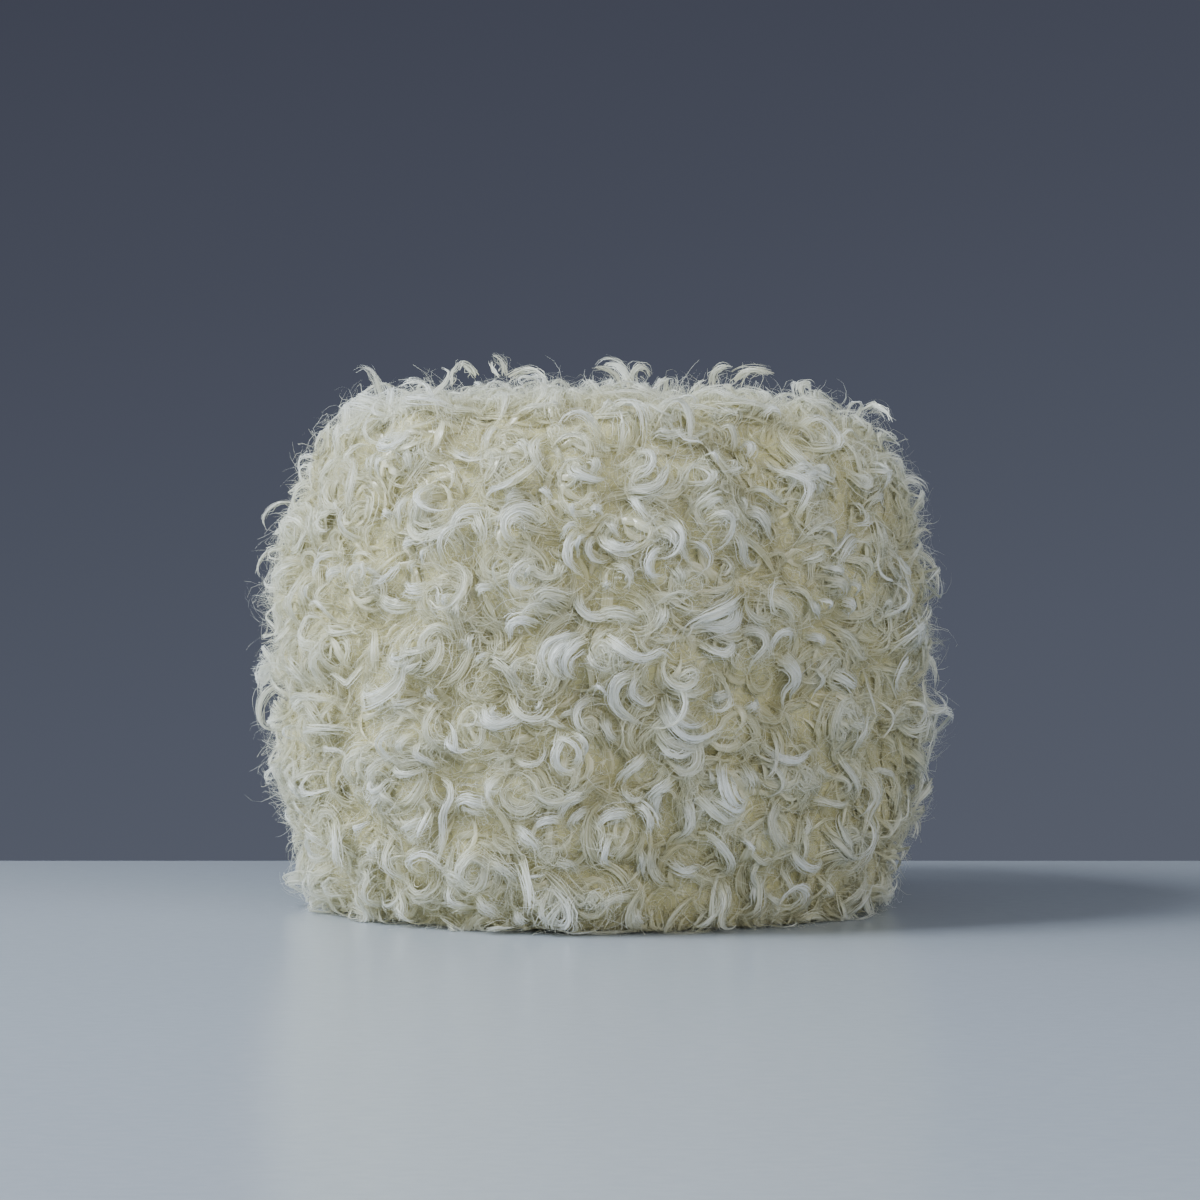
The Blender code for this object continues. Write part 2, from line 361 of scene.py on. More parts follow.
# Locks that stand out at the ball's edge in the photograph.
# Each row: width in pixels, distance behind the middle in millimetres, then x,y from root to tip in pixels.
STANDING_LOCKS = """
 8 -12 388,412 381,396 376,380 369,370 361,367 352,371
 6 -14 426,402 438,390 447,380 449,372 441,367
 8 -10 476,376 469,367 462,364 459,372
 3 -10 452,386 453,371 461,360
 6 -12 504,376 502,363 496,357 489,354
 3 -12 499,378 492,367 490,359
 7 -16 506,378 519,372 533,369 543,376 550,387
11 -16 629,388 624,374 615,365 606,364 599,373
 4 -16 622,388 615,375 605,369 588,369
 8 -14 634,388 633,374 639,367 647,370 651,380
 8 -16 713,387 715,373 723,368 734,369
 9 -14 733,382 745,372 760,370 777,374
 8 -12 800,396 801,384 808,383 814,392
 9 -10 862,410 873,405 884,410 891,426
10 -2 884,500 897,487 911,480 921,484 927,499
 4 -2 898,552 912,538 925,530 932,536
 5 -2 900,556 918,552 931,562 936,577 936,593
 7 -2 893,676 907,662 922,655 932,662 935,677 933,692
 3 -2 905,700 920,707 926,722 926,737 922,749
 9 -2 888,786 904,773 917,772 923,782 922,793 913,801
 9 -2 886,808 902,809 913,817 916,828 911,841
 3 -2 882,848 895,845 903,849 903,857 898,862
 3 -2 294,503 281,503 269,509 263,519 267,532
 7 -2 300,645 284,650 269,663 261,682 260,700
 8 -2 282,682 267,692 259,710 264,727 276,731 288,725
 2 -2 286,546 270,550 259,562 258,572 264,580
"""


def material_with(name, roughness, sheen=0.0, specular=0.5):
    """A new material, its node tree and its Principled shader."""
    material = bpy.data.materials.new(name)
    material.use_nodes = True
    tree = material.node_tree
    shader = tree.nodes["Principled BSDF"]
    shader.inputs["Roughness"].default_value = roughness
    shader.inputs["Specular IOR Level"].default_value = specular
    shader.inputs["Sheen Weight"].default_value = sheen
    return material, tree, shader


def node(tree, kind, **settings):
    """Adds a node and sets its attributes, or its inputs where a name is an input's."""
    made = tree.nodes.new(kind)
    for name, value in settings.items():
        if name in made.inputs:
            made.inputs[name].default_value = value
        else:
            setattr(made, name, value)
    return made


def ramp(tree, source, stops):
    """A colour ramp fed by a socket, with (place, colour) stops."""
    made = tree.nodes.new("ShaderNodeValToRGB")
    elements = made.color_ramp.elements
    while len(elements) < len(stops):
        elements.new(0.5)
    for element, (place, colour) in zip(elements, stops):
        element.position = place
        element.color = (*colour, 1.0)
    tree.links.new(source, made.inputs["Fac"])
    return made.outputs["Color"]


def feed(tree, value, entry):
    """Gives an input a number or a socket's value."""
    if isinstance(value, float):
        entry.default_value = value
    else:
        tree.links.new(value, entry)


def blended(tree, kind, factor, first, second):
    """Two colours mixed by a number or by a socket."""
    made = tree.nodes.new("ShaderNodeMix")
    made.data_type = "RGBA"
    made.blend_type = kind
    made.clamp_result = True
    feed(tree, factor, made.inputs["Factor"])
    tree.links.new(first, made.inputs["A"])
    tree.links.new(second, made.inputs["B"])
    return made.outputs["Result"]


def axes_of(tree, source):
    """The outputs of a node that parts a place into X, Y and Z."""
    made = tree.nodes.new("ShaderNodeSeparateXYZ")
    tree.links.new(source, made.inputs["Vector"])
    return made.outputs


def calculated(tree, operation, *values):
    """A calculation on sockets or numbers."""
    made = node(tree, "ShaderNodeMath", operation=operation)
    for value, entry in zip(values, made.inputs):
        feed(tree, value, entry)
    return made.outputs[0]


def in_scene(name, data):
    """A new object in the scene."""
    made = bpy.data.objects.new(name, data)
    bpy.context.scene.collection.objects.link(made)
    return made


def fibre_material(name, deep, middle, outer, tip, roughness, light_through):
    """Fine fibre. Its map holds a shade across, with the streaks of single fibres, and the depth in the pile."""
    material, tree, shader = material_with(name, roughness, sheen=0.1, specular=1.0)
    place = node(tree, "ShaderNodeUVMap", uv_map=MAP_NAME)
    parts = axes_of(tree, place.outputs["UV"])
    # Colour by depth is painted light: darker and yellower deep in the pile as painted shade, bluish-white at the
    # outermost tips as painted highlight
    painted_depth_light = ramp(tree, parts["Y"], [(0.0, deep), (0.38, middle), (0.68, outer), (1.0, tip)])
    shades = ramp(tree, parts["X"], STRAND_SHADES)
    toned = blended(tree, "MULTIPLY", 1.0, painted_depth_light, shades)
    fine = node(tree, "ShaderNodeTexNoise", noise_dimensions="1D", Scale=STREAK_SCALE, Detail=2.0, Roughness=0.7)
    tree.links.new(parts["X"], fine.inputs["W"])
    streak = ramp(tree, fine.outputs["Fac"], STRAND_STREAKS)
    streaked = blended(tree, "MULTIPLY", 1.0, toned, streak)
    tree.links.new(streaked, shader.inputs["Base Color"])
    through = tree.nodes.new("ShaderNodeBsdfTranslucent")
    tree.links.new(streaked, through.inputs["Color"])
    both = node(tree, "ShaderNodeMixShader", Fac=light_through)
    tree.links.new(shader.outputs["BSDF"], both.inputs[1])
    tree.links.new(through.outputs["BSDF"], both.inputs[2])
    tree.links.new(both.outputs["Shader"], tree.nodes["Material Output"].inputs["Surface"])
    return material


def ground_material():
    """The yarn under the pile: matted, in a dark olive to tan that is painted shade of the deep pile, uneven at
    random, with fine, pale lines of crinkled fibre.
    """
    material, tree, shader = material_with("matted_ground", 0.85, sheen=0.2, specular=0.25)
    place = tree.nodes.new("ShaderNodeTexCoord")
    broad = node(tree, "ShaderNodeTexNoise", Scale=240.0, Detail=3.0, Roughness=0.6, Distortion=1.0)
    tree.links.new(place.outputs["Object"], broad.inputs["Vector"])
    colour = ramp(tree, broad.outputs["Fac"], GROUND_PAINTED_SHADE)
    heights = []
    for scale, distortion, at in GROUND_LINES:
        lines = node(tree, "ShaderNodeTexNoise", Scale=scale, Detail=1.0, Roughness=0.4, Distortion=distortion)
        tree.links.new(place.outputs["Object"], lines.inputs["Vector"])
        fibres = ramp(tree, lines.outputs["Fac"], [
            (at - GROUND_FIBRE_WIDTH, (0.0, 0.0, 0.0)),
            (at, (1.0, 1.0, 1.0)),
            (at + GROUND_FIBRE_WIDTH, (0.0, 0.0, 0.0)),
        ])
        pale = node(tree, "ShaderNodeRGB")
        pale.outputs[0].default_value = GROUND_FIBRE
        share = calculated(tree, "MULTIPLY", fibres, GROUND_FIBRE_SHARE)
        colour = blended(tree, "MIX", share, colour, pale.outputs[0])
        heights.append(share)
    height = heights[0]
    for other in heights[1:]:
        height = calculated(tree, "MAXIMUM", height, other)
    tree.links.new(colour, shader.inputs["Base Color"])
    bump = node(tree, "ShaderNodeBump", Strength=0.8, Distance=0.3 * MM)
    tree.links.new(height, bump.inputs["Height"])
    tree.links.new(bump.outputs["Normal"], shader.inputs["Normal"])
    return material


def unit(vectors):
    """Vectors brought to a length of 1."""
    return vectors / np.maximum(np.linalg.norm(vectors, axis=-1, keepdims=True), 1e-12)


def smooth(share):
    """A share from 0 to 1, eased at both ends."""
    share = np.clip(share, 0.0, 1.0)
    return share * share * (3.0 - 2.0 * share)


class Drum:
    """The surface of the wound drum.

    A place on it is an arc length up its outline, which is below 0 on the flat end, and an angle."""

    OUTLINE_SAMPLES = 900
    RELIEF_ROWS = 256
    RELIEF_COLUMNS = 480

    def __init__(self):
        start = -math.asin(WIDEST_HEIGHT / (WIDEST_HEIGHT + HEIGHT_UNDER_FLAT))
        turned = np.linspace(start, math.pi / 2.0, self.OUTLINE_SAMPLES)
        squareness = np.where(turned > 0.0, UPPER_SQUARENESS, LOWER_SQUARENESS)
        reach = np.where(turned > 0.0, DRUM_HEIGHT - WIDEST_HEIGHT, WIDEST_HEIGHT + HEIGHT_UNDER_FLAT)
        radius = DRUM_RADIUS * np.clip(np.cos(turned), 0.0, 1.0) ** (2.0 / squareness)
        radius[0], radius[-1] = FLAT_RADIUS, 0.0
        height = WIDEST_HEIGHT + reach * np.sin(turned)
        height[0] = 0.0
        self.arc = np.concatenate([[0.0], np.cumsum(np.hypot(np.diff(radius), np.diff(height)))])
        self.total = self.arc[-1]
        self.arc = np.concatenate([[-FLAT_RADIUS], self.arc])
        self.radius = np.concatenate([[0.0], radius])
        self.height = np.concatenate([[0.0], height])
        side = (self.arc >= 0.0) & (self.arc <= self.total - RIM_RADIUS)
        self.side_height, self.side_radius = self.height[side], self.radius[side]
        self.relief = self.measured_relief()

    def outline(self, arc):
        """The outline's radius and height."""
        return np.interp(arc, self.arc, self.radius), np.interp(arc, self.arc, self.height)

    def measured_relief(self):
        """How far the yarn's turns, tufts and sags stand out of the outline, on a grid of arcs and angles."""
        relief = np.zeros((self.RELIEF_ROWS, self.RELIEF_COLUMNS))
        arcs = np.linspace(0.0, self.total, self.RELIEF_ROWS)
        radii, heights = self.outline(arcs)
        for row, (arc, radius, height) in enumerate(zip(arcs, radii, heights)):
            fade = min(1.0, 0.5 + arc / TURN_PITCH) * min(1.0, (self.total - arc) / TURN_PITCH)
            for column in range(self.RELIEF_COLUMNS):
                angle = 2.0 * math.pi * column / self.RELIEF_COLUMNS
                place = Vector((radius * math.cos(angle), radius * math.sin(angle), height))
                wander = TURN_WANDER * noise.noise(place / SAG_SIZE + Vector((7.0, 0.0, 0.0)))
                swell = TURN_DEPTH * (abs(math.sin(math.pi * (arc + wander) / TURN_PITCH)) - TURN_MEAN)
                swell += TUFT_DEPTH * (TUFT_MEAN - noise.voronoi(place / TUFT_SIZE)[0][0])
                swell += SAG_DEPTH * noise.noise(place / SAG_SIZE)
                relief[row, column] = fade * swell
        return relief

    def from_tuft(self, arc, angle):
        """How far round and up the drum each place lies from its tuft's middle, and a number for the tuft."""
        radii, heights = self.outline(np.maximum(arc, 0.0))
        ahead = []
        for radius, height, turned in zip(radii, heights, angle):
            place = Vector((radius * math.cos(turned), radius * math.sin(turned), height))
            middle = noise.voronoi(place / TUFT_SIZE)[1][0] * TUFT_SIZE
            gap = place - middle
            round_gap = gap.y * math.cos(turned) - gap.x * math.sin(turned)
            inward_gap = gap.x * math.cos(turned) + gap.y * math.sin(turned)
            ahead.append((round_gap, inward_gap, gap.z, math.floor(1.0e5 * (middle.x + middle.y + middle.z))))
        round_gap, inward_gap, rise, number = np.array(ahead).T
        low, high = self.outline(arc - SLOPE_STEP), self.outline(arc + SLOPE_STEP)
        across, up = high[0] - low[0], high[1] - low[1]
        size = np.maximum(np.hypot(across, up), 1e-9)
        return round_gap, (inward_gap * across + rise * up) / size, number

    def swell(self, arc, angle):
        """The relief, read between the places of its grid."""
        row = np.clip(arc / self.total, 0.0, 1.0) * (self.RELIEF_ROWS - 1)
        column = (angle / (2.0 * math.pi)) % 1.0 * self.RELIEF_COLUMNS
        low_row = np.minimum(row.astype(int), self.RELIEF_ROWS - 2)
        low_column = column.astype(int) % self.RELIEF_COLUMNS
        next_column = (low_column + 1) % self.RELIEF_COLUMNS
        across, up = column - np.floor(column), row - low_row
        low = self.relief[low_row, low_column] * (1.0 - across) + self.relief[low_row, next_column] * across
        high = self.relief[low_row + 1, low_column] * (1.0 - across) + self.relief[low_row + 1, next_column] * across
        return (low * (1.0 - up) + high * up) * (arc > 0.0)

    def surface(self, arc, angle):
        """Places on the drum and the ways out of it."""
        arc = np.maximum(arc, -0.98 * FLAT_RADIUS)
        radius, height = self.outline(arc)
        low, high = self.outline(arc - SLOPE_STEP), self.outline(arc + SLOPE_STEP)
        across, rise = high[0] - low[0], high[1] - low[1]
        size = np.maximum(np.hypot(across, rise), 1e-9)
        ray = np.stack([np.cos(angle), np.sin(angle), np.zeros_like(angle)], -1)
        up = np.array([0.0, 0.0, 1.0])
        out = ray * (rise / size)[..., None] - up * (across / size)[..., None]
        place = ray * radius[..., None] + up * height[..., None]
        return place + out * self.swell(arc, angle)[..., None], out


def ribbon_mesh(name, points, shades, depths, material, normals=None):
    """One mesh of ribbons, each a grid of rows along and columns across of points, shades, depths and normals.

    Points near the table or under it are pressed to lie above it, and spread outwards."""
    ribbons, rows, columns = points.shape[:3]
    points = points.copy()
    deep = np.maximum(FLOOR_ZONE - points[..., 2], 0.0)
    reach = np.maximum(np.hypot(points[..., 0], points[..., 1]), FLOOR_ZONE)
    points[..., :2] *= 1.0 + (FLOOR_SPREAD * deep / reach)[..., None]
    points[..., 2] = np.where(deep > 0.0, FLOOR_ZONE * np.exp(-deep / FLOOR_ZONE), points[..., 2])
    index = np.arange(ribbons * rows * columns).reshape(ribbons, rows, columns)
    faces = np.stack([index[:, :-1, :-1], index[:, :-1, 1:], index[:, 1:, 1:], index[:, 1:, :-1]], -1).reshape(-1, 4)
    mesh = bpy.data.meshes.new(name)
    mesh.vertices.add(points.size // 3)
    mesh.vertices.foreach_set("co", points.astype(np.float32).ravel())
    mesh.loops.add(faces.size)
    mesh.loops.foreach_set("vertex_index", faces.astype(np.int32).ravel())
    mesh.polygons.add(len(faces))
    mesh.polygons.foreach_set("loop_start", np.arange(0, faces.size, 4, dtype=np.int32))
    mesh.polygons.foreach_set("loop_total", np.full(len(faces), 4, np.int32))
    mesh.update(calc_edges=True)
    mesh.shade_smooth()
    on_map = np.stack([np.clip(shades, 0.005, 0.995), np.clip(depths, 0.005, 0.995)], -1).reshape(-1, 2)
    layer = mesh.uv_layers.new(name=MAP_NAME)
    layer.uv.foreach_set("vector", on_map[faces.ravel()].astype(np.float32).ravel())
    if normals is not None:
        mesh.normals_split_custom_set_from_vertices(normals.reshape(-1, 3).tolist())
    mesh.materials.append(material)
    return in_scene(name, mesh)


def strand_mesh(name, places, across, half_width, shade, depth, material):
    """One mesh of flat strands, shaded as if they were round.

    places, across, half_width and depth run along each strand, and shade is one number for each."""
    strands, samples = places.shape[:2]
    edge = np.array([-1.0, 1.0])
    points = places[:, :, None] + (across * half_width[..., None])[:, :, None] * edge[:, None]
    spread = half_width.max(1)[:, None, None] / SHADE_RANGE * edge
    shades = np.broadcast_to(shade[:, None, None] + spread, (strands, samples, 2))
    depths = np.broadcast_to(depth[:, :, None], (strands, samples, 2))
    facing = unit(np.cross(across, np.gradient(places, axis=1)))
    normals = facing[:, :, None] * math.cos(STRAND_ROUNDNESS)
    normals = normals + across[:, :, None] * edge[:, None] * math.sin(STRAND_ROUNDNESS)
    return ribbon_mesh(name, points, shades, depths, material, unit(normals))


def curl_routes(drum, samples, arc, angle, heading, tilt, turn, tighten, sway, length, root, lift, drop):
    """The routes of curls that follow the drum: places, the ways out of the drum there, and heights for colour, with
    the drum's swell added as painted shade in its hollows.

    A curl bends in a plane that lies on the drum where its tilt is 0 and stands on it at 90 degrees. One
    that grows on the flat part of the top is laid out on it as on a plane, and the others as on a roll."""
    along = np.linspace(0.0, 1.0, samples)[None, :]
    curled = along ** tighten[:, None] * (1.0 - sway[:, None])
    bend = turn[:, None] * (curled + sway[:, None] * 0.5 * np.sin(2.2 * math.pi * along))
    step = length[:, None] / (samples - 1)
    ahead = np.cumsum(np.cos(bend) * step, 1) - step
    aside = np.cumsum(np.sin(bend) * step, 1)
    height = np.sign(turn)[:, None] * aside * np.sin(tilt)[:, None]
    aside = aside * np.cos(tilt)[:, None]
    cos, sin = np.cos(heading)[:, None], np.sin(heading)[:, None]
    radius = np.maximum(drum.outline(arc)[0], SMALLEST_BEND_RADIUS)[:, None]
    upward, sideways = ahead * sin + aside * cos, ahead * cos - aside * sin
    from_axis = (drum.total - arc)[:, None]
    on_top = from_axis < TOP_PLANE_RADIUS
    arcs = np.where(on_top, drum.total - np.hypot(from_axis - upward, sideways), arc[:, None] + upward)
    angles = angle[:, None] + np.where(on_top, np.arctan2(sideways, from_axis - upward), sideways / radius)
    place, out = drum.surface(arcs, angles)
    height = MOST_STANDING * np.tanh(np.maximum(height, 0.0) / MOST_STANDING)
    arch = smooth(along / 0.45) - drop[:, None] * smooth((along - 0.45) / 0.55)
    raised = root[:, None] + (lift - root)[:, None] * arch + height * (1.0 - 0.5 * drop[:, None] * along)
    # The colour height adds the drum's swell: painted shade in its hollows, lighter on its swells
    return place + out * raised[..., None], out, raised + RELIEF_PAINTED_SHADE * drum.swell(arcs, angles)


def gathered(values, along):
    """values, which run along routes, read at a share of each route's length."""
    spot = along * (values.shape[1] - 1)
    low = np.minimum(spot.astype(int), values.shape[1] - 2)
    share = spot - low
    rows = np.arange(len(values))[:, None]
    if values.ndim == 3:
        share = share[..., None]
    return values[rows, low] * (1.0 - share) + values[rows, low + 1] * share


def depth_of(raised):
    """Where a height above the drum lies on the map, from deep in the pile to its outside."""
    return (raised + DEEPEST) / DEPTH_RANGE


def ring_sites(chance, drum, pitch, spacing, lowest):
    """Uneven places on rings round the drum, as arcs and angles."""
    arcs, angles = [], []
    rings = int((drum.total - lowest) / pitch)
    for ring in range(rings):
        arc = lowest + (ring + 0.5) * pitch
        radius = float(drum.outline(arc)[0] if arc > 0 else FLAT_RADIUS + arc)
        count = max(1, round(2.0 * math.pi * radius / spacing))
        arcs.append(arc + pitch * chance.uniform(-0.45, 0.45, count))
        spots = np.arange(count) + chance.uniform(-0.45, 0.45, count) + 0.5 * (ring % 2)
        angles.append(2.0 * math.pi * spots / count)
    return np.concatenate(arcs), np.concatenate(angles)


def frames(routes, out, twist):
    """The ways ahead, across and out of each route, turned about it by twist."""
    ahead = unit(np.gradient(routes, axis=1))
    facing = unit(out - ahead * (out * ahead).sum(-1, keepdims=True) * 0.98)
    side = unit(np.cross(ahead, facing))
    facing = np.cross(side, ahead)
    cos, sin = np.cos(twist)[..., None], np.sin(twist)[..., None]
    return side * cos + facing * sin, facing * cos - side * sin


def lock_cores(name, chance, routes, side, facing, raised, half, shade, material, samples):
    """The body of each lock, a rounded strip with painted streaks and painted shade."""
    count = len(routes)
    begin = chance.uniform(0.0, 0.12, count)
    end = chance.uniform(0.74, 0.95, count)
    own = np.linspace(0.0, 1.0, samples)[None, :]
    along = begin[:, None] + (end - begin)[:, None] * own
    place, way, up, height = (gathered(values, along) for values in (routes, side, facing, raised))
    taper = (0.55 + 0.45 * smooth(own / 0.3)) * (1.0 - 0.85 * smooth((own - 0.40) / 0.60))
    width = half[:, None] * chance.uniform(0.40, 0.65, count)[:, None] * taper
    shift = half * chance.uniform(-0.15, 0.15, count)
    lean = np.linspace(-1.0, 1.0, CORE_COLUMNS)
    aside = width[..., None] * np.sin(1.25 * lean) + (shift[:, None] * taper)[..., None]
    above = 0.45 * width[..., None] * np.cos(1.4 * lean) - 0.12 * half[:, None, None]
    points = place[:, :, None] + way[:, :, None] * aside[..., None] + up[:, :, None] * above[..., None]
    shades = shade[:, None, None] + aside / SHADE_RANGE
    # Painted shade: the core is darker than its height gives, a little all over beneath the strands, more along its
    # sides and most at the root
    root_painted_shade = (1.0 - smooth(along / 0.35))[..., None]
    depths = depth_of(height[..., None] + above) - 0.06 - 0.10 * lean**2 - 0.20 * root_painted_shade
    return ribbon_mesh(name, points, np.broadcast_to(shades, points.shape[:3]), depths, material)


def lock_strands(name, chance, routes, out, raised, half, strands_each, material, twist, fan, samples):
    """Meshes of locks: a rounded body under fine strands, gathered at the bend and parted at the tip."""
    count = len(routes)
    axis = np.linspace(0.0, 1.0, routes.shape[1])[None, :]
    side, facing = frames(routes, out, twist[:, None] * (axis - 0.3))
    own_shade = np.clip(chance.normal(0.58, 0.20, count), 0.10, 0.92)
    pieces = [lock_cores(f"{name}_cores", chance, routes, side, facing, raised, half, own_shade, material, samples)]
    lock = np.repeat(np.arange(count), strands_each)
    strands = len(lock)
    spot = np.clip(chance.normal(0.0, 0.60, strands), -1.35, 1.35)
    loose = chance.random(strands) < LOOSE_SHARE
    spot = np.where(loose, LOOSE_SPREAD * spot, spot)
    begin = chance.uniform(0.0, 0.25, strands)
    end = 1.0 - 0.10 * np.abs(spot) - chance.uniform(0.0, 0.20, strands)
    own = np.linspace(0.0, 1.0, samples)[None, :]
    along = begin[:, None] + (end - begin)[:, None] * own
    place, way, up = (gathered(values[lock], along) for values in (routes, side, facing))

    parted = np.where(spot > chance.uniform(-0.9, 0.9, count)[lock], 1.0, -1.0)
    parting = (parted * chance.uniform(0.0, 0.9, count)[lock])[:, None] * smooth((along - 0.5) / 0.5)
    gather = fan[lock][:, None] + (1.0 - fan[lock][:, None]) * smooth(along / 0.45)
    taper = 1.0 - 0.65 * smooth((along - 0.45) / 0.55)
    spread = half[lock][:, None] * gather * taper
    lean = np.radians(80.0) * np.clip(spot, -1.2, 1.2)[:, None]
    wave = chance.uniform(0.03, 0.14, strands)[:, None] * MM
    wave = np.where(loose[:, None], LOOSE_WAVE * wave, wave)
    wave = wave * np.sin(2.0 * math.pi * (own * chance.uniform(0.5, 2.2, (strands, 1)) + chance.random((strands, 1))))
    sideways = spread * np.sin(lean) * np.maximum(1.0, np.abs(spot))[:, None] + parting * half[lock][:, None] + wave
    sunk = chance.uniform(-0.12, 0.10, strands)
    upward = 0.42 * spread * np.cos(lean) + sunk[:, None] * half[lock][:, None] + 0.5 * wave
    place = place + way * sideways[..., None] + up * upward[..., None]
    tilt = (0.8 * lean + chance.uniform(-0.15, 0.15, strands)[:, None])[..., None]
    across = way * np.cos(tilt) - up * np.sin(tilt)
    width = chance.uniform(*STRAND_HALF_WIDTHS, strands)[:, None] * MM * (1.0 - 0.7 * smooth((own - 0.6) / 0.4))
    shade = np.clip(own_shade[lock] + chance.normal(0.04, 0.11, strands), 0.02, 0.98)
    # Painted shade: strands are darker towards the root, deep in the pile
    depth = depth_of(gathered(raised[lock], along) + upward) - 0.28 * (1.0 - smooth(along / 0.35))
    parts = math.ceil(strands * (samples - 1) * 2 / MOST_TRIANGLES)
    for number, part in enumerate(np.array_split(np.arange(strands), parts), start=1):
        pieces.append(strand_mesh(
            f"{name}_{number}", place[part], across[part], width[part], shade[part], depth[part], material,
        ))
    return pieces


def rows_of(table):
    """The rows of a table of traced locks: the two numbers and the points."""
    for line in table.strip().splitlines():
        width, other, *points = line.split()
        pixels = [[float(number) for number in point.split(",")] for point in points]
        yield float(width), float(other), np.array(pixels)


def curve_through(points, samples):
    """A smooth run through points."""
    steps = np.concatenate([[0.0], np.cumsum(np.linalg.norm(np.diff(points, axis=0), axis=1))])
    if len(points) > 2:
        ways = np.gradient(points, steps, axis=0)
    else:
        ways = np.tile((points[1] - points[0]) / steps[1], (2, 1))
    spots = np.linspace(0.0, steps[-1], samples)
    part = np.clip(np.searchsorted(steps, spots, side="right") - 1, 0, len(points) - 2)
    size = (steps[part + 1] - steps[part])[:, None]
    share = (spots - steps[part])[:, None] / size
    return (
        (1 + 2 * share) * (1 - share) ** 2 * points[part] + share * (1 - share) ** 2 * size * ways[part]
        + share**2 * (3 - 2 * share) * points[part + 1] + share**2 * (share - 1) * size * ways[part + 1]
    )


def sight_lines(pixels):
    """The ways from the camera through places in the photograph, one metre forwards."""
    x = (pixels[..., 0] - 0.5 * PHOTO_WIDTH) / FOCAL_PIXELS
    z = (0.5 * PHOTO_WIDTH - pixels[..., 1]) / FOCAL_PIXELS
    return np.stack([x, np.ones_like(x), z], -1)


def seen_on_drum(drum, pixels, stand_off):
    """Where sight lines first meet the drum, swollen by stand_off: arcs and angles.

    One that misses it takes the place on it where it passes the upper rim or the side most closely."""
    ways = sight_lines(pixels)
    reach = np.linspace(EYE_DISTANCE - 1.3 * DRUM_RADIUS, EYE_DISTANCE, 900)[:, None, None]
    places = np.array(EYE) + ways * reach
    radius, height = np.hypot(places[..., 0], places[..., 1]), places[..., 2]
    limit = np.interp(height, drum.side_height, drum.side_radius) + stand_off
    inside = (radius < limit) & (height < DRUM_HEIGHT + stand_off)
    nearest = np.where(inside.any(0), inside.argmax(0), np.abs(radius - RIM_RADIUS).argmin(0))
    hit = np.take_along_axis(places, nearest[None, :, None], 0)[0]
    radius = np.hypot(hit[:, 0], hit[:, 1])
    gap = (drum.radius[:, None] - radius) ** 2 + (drum.height[:, None] - hit[:, 2]) ** 2
    return drum.arc[gap.argmin(0)], np.arctan2(hit[:, 1], hit[:, 0])


def traced_locks(drum, material):
    """The locks that the photograph shows best, laid where it shows them."""
    chance = np.random.default_rng(71)
    samples = 40
    along = np.linspace(0.0, 1.0, samples)
    routes, ways, raised, half = [], [], [], []
    for width, tenths, points in rows_of(TRACED_LOCKS):
        stand = tenths / 10.0
        lift = (0.6 + 2.4 * stand) * MM
        arc, angle = seen_on_drum(drum, curve_through(points, samples), lift)
        place, out = drum.surface(arc, angle)
        deep = 1.2 * MM * (1.0 - stand)
        rise = 1.0 - 0.8 * (1.0 - smooth(along / 0.40)) - 0.6 * smooth((along - 0.5) / 0.5)
        height = (lift + deep) * rise - deep
        routes.append(place + out * height[:, None])
        ways.append(out)
        # Locks that stand out further get a higher colour height: more of the painted highlight of the outer pile
        raised.append(height + 1.0 * MM * stand)
        half.append(0.5 * width * PIXEL)
    swing = np.random.default_rng(72)
    for width, behind, points in rows_of(STANDING_LOCKS):
        start, slant, bow = swing.uniform((-4.0, -6.0, -2.0), (3.0, 6.0, 2.0))
        behind = behind + start + slant * (along - 0.3) + bow * np.sin(math.pi * along)
        distance = EYE_DISTANCE + behind[:, None] * MM
        spots = sight_lines(curve_through(points, samples)) * distance + np.array(EYE)
        routes.append(spots)
        ways.append(np.tile([0.0, -1.0, 0.0], (samples, 1)))
        raised.append(np.full(samples, 2.6 * MM))
        half.append(0.5 * width * PIXEL)
    routes, ways, raised, half = (np.array(values) for values in (routes, ways, raised, half))
    count = len(routes)
    pieces = lock_strands(
        "traced_locks", chance, routes, ways, raised, half, np.round(8.0 + 17.0 * half / MM).astype(int),
        material, np.radians(chance.uniform(-35.0, 35.0, count)), chance.uniform(0.9, 1.5, count), 12,
    )
    return pieces, routes.reshape(-1, 3)


def swirl(chance, drum, arc, angle, length, share, turns):
    """The headings and turns of curls. A share of them circle their tuft's middle; the others lie at random."""
    count = len(arc)
    aside, upward, tuft = drum.from_tuft(arc, angle)
    away = np.maximum(np.hypot(aside, upward), 1.3 * MM)
    handed = np.where(tuft % 2 == 0, 1.0, -1.0)
    circling = chance.random(count) < share
    heading = np.arctan2(upward, aside) + handed * np.radians(90.0) + np.radians(chance.normal(0.0, 28.0, count))
    heading = np.where(circling, heading, chance.uniform(0.0, 2.0 * math.pi, count))
    around = handed * np.clip(length / away, 1.4, 5.0)
    free = chance.choice([-1.0, 1.0], count) * np.radians(chance.uniform(*turns, count))
    return heading, np.where(circling, around, free)


